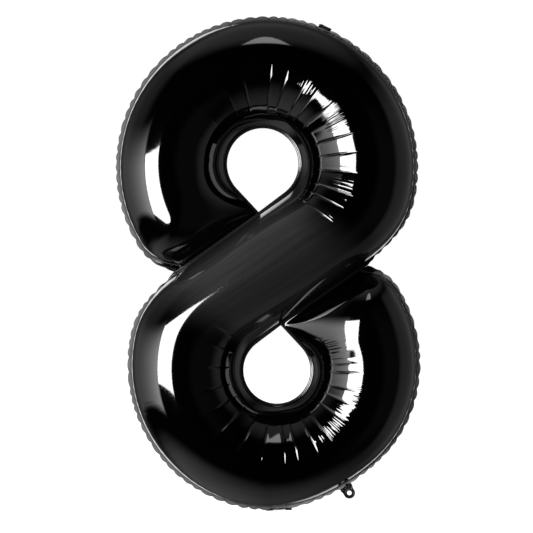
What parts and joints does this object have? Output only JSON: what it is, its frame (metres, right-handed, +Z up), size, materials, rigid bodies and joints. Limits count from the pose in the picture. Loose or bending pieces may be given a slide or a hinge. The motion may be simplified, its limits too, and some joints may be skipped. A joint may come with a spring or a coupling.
{
  "type": "inflated foil numeral balloon",
  "caption": "Inflated black foil balloon in the shape of the numeral 8, with two teardrop holes, folding eyelet tabs and a folding filling neck.",
  "frame": {"origin": "centre of the bounding box, on the plane where the two films are welded", "axes": "+X to the viewer's right, +Z up the numeral, -Y towards the viewer"},
  "size_m": [0.5298, 0.166, 0.86],
  "materials": {
    "black_film": "glossy black metallised film, creased at the seams",
    "valve_film": "thin translucent film"
  },
  "bodies": {
    "balloon": {"front_panel": "black_film", "back_panel": "black_film", "valve_film_front": "valve_film", "valve_film_back": "valve_film"},
    "neck": {"neck_front": "black_film", "neck_back": "black_film"},
    "lower_tab": {"lower_tab_front": "black_film", "lower_tab_back": "black_film"},
    "upper_tab": {"upper_tab_front": "black_film", "upper_tab_back": "black_film"}
  },
  "joints": [
    {"name": "neck_fold", "type": "hinge", "parent": "balloon", "child": "neck", "pos_m": [0.01882, 0, -0.42767], "axis": [-0.9994, 0, -0.0349], "range_deg": [0, 180]},
    {"name": "lower_tab_fold", "type": "hinge", "parent": "balloon", "child": "lower_tab", "pos_m": [0.13487, 0, -0.38699], "axis": [-0.8616, 0, -0.5075], "range_deg": [-90, 90]},
    {"name": "upper_tab_fold", "type": "hinge", "parent": "balloon", "child": "upper_tab", "pos_m": [0.09903, 0, 0.4119], "axis": [0.9239, 0, -0.3827], "range_deg": [-12, 168]}
  ]
}
